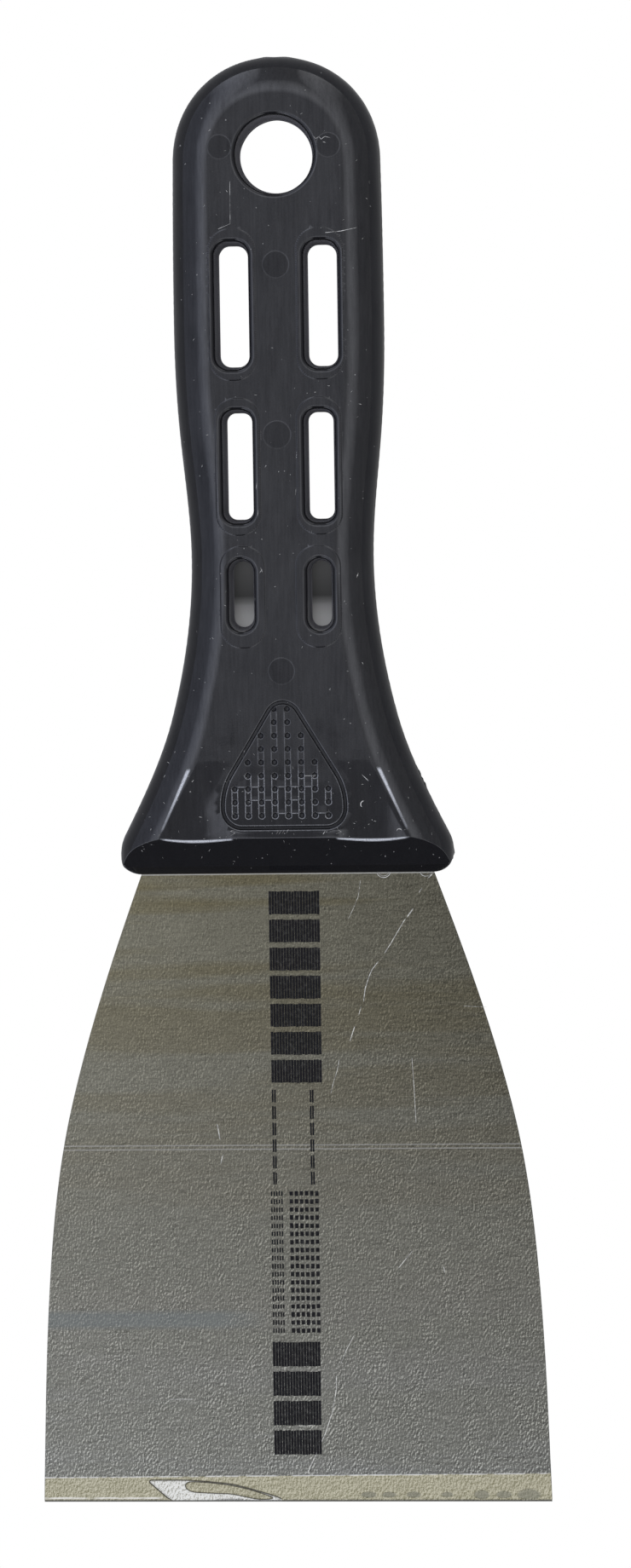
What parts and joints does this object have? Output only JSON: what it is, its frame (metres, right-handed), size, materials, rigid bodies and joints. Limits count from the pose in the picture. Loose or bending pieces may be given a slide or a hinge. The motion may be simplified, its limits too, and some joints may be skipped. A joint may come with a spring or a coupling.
{
  "type": "ink knife",
  "caption": "Flat flared steel blade moulded into a slotted plastic handle with a thumb rest and a hanging hole, for mixing and lifting printing ink.",
  "frame": {"origin": "under the middle of the knife's length and width, on the plane that the handle rests on", "axes": "+X across the blade, +Y from the working edge to the hanging hole, +Z through the thickness, away from the surface it lies on"},
  "size_m": [0.08, 0.2246, 0.0132],
  "materials": {
    "blade_steel": "rolled spring steel under a thin clear lacquer, bare and ground along the working edge",
    "handle_plastic": "black injection-moulded plastic, semi-gloss, with moulding marks"
  },
  "bodies": {
    "root": {"blade": "blade_steel", "handle": "handle_plastic"}
  },
  "joints": []
}
